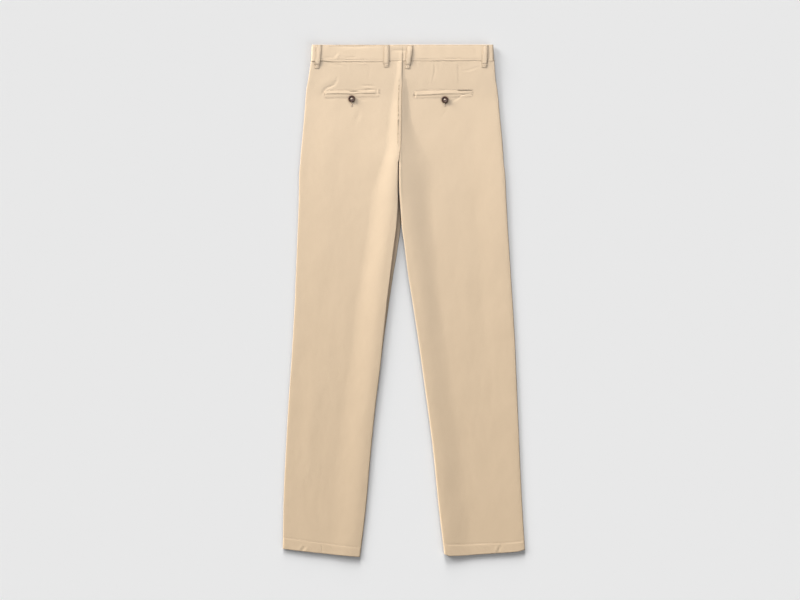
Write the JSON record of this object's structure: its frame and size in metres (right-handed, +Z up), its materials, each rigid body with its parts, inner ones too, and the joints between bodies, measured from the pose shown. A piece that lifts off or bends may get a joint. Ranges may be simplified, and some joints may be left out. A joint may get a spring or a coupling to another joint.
{
  "type": "chino trousers laid flat",
  "caption": "Straight-leg chino trousers laid flat and face down, with waistband, belt loops, jetted back pockets, buttons, lapped fly and turned-up hems.",
  "frame": {"origin": "middle of the garment's outline, on the surface that it lies on", "axes": "+Y from the hems towards the waist, +X towards the wearer's right, +Z up out of the back of the trousers"},
  "size_m": [0.506, 1.075, 0.0149],
  "materials": {
    "cotton_twill": "beige cotton twill, matt with a faint sheen",
    "button": "dark brown polyester, polished",
    "zip": "brass chain on cotton tape"
  },
  "bodies": {
    "root": {"back_left": "cotton_twill", "back_right": "cotton_twill", "front_left": "cotton_twill", "front_right": "cotton_twill", "waistband_left": "cotton_twill", "waistband_right": "cotton_twill", "hem_left": "cotton_twill", "hem_right": "cotton_twill", "belt_loop_left_side": "cotton_twill", "belt_loop_back_left": "cotton_twill", "belt_loop_back_right": "cotton_twill", "belt_loop_right_side": "cotton_twill", "belt_loop_front_left": "cotton_twill", "belt_loop_front_right": "cotton_twill", "pocket_left_upper_jet": "cotton_twill", "pocket_left_lower_jet": "cotton_twill", "pocket_right_upper_jet": "cotton_twill", "pocket_right_lower_jet": "cotton_twill", "pocket_left_button": "button", "pocket_right_button": "button", "waist_button": "button", "zip": "zip"}
  },
  "joints": []
}
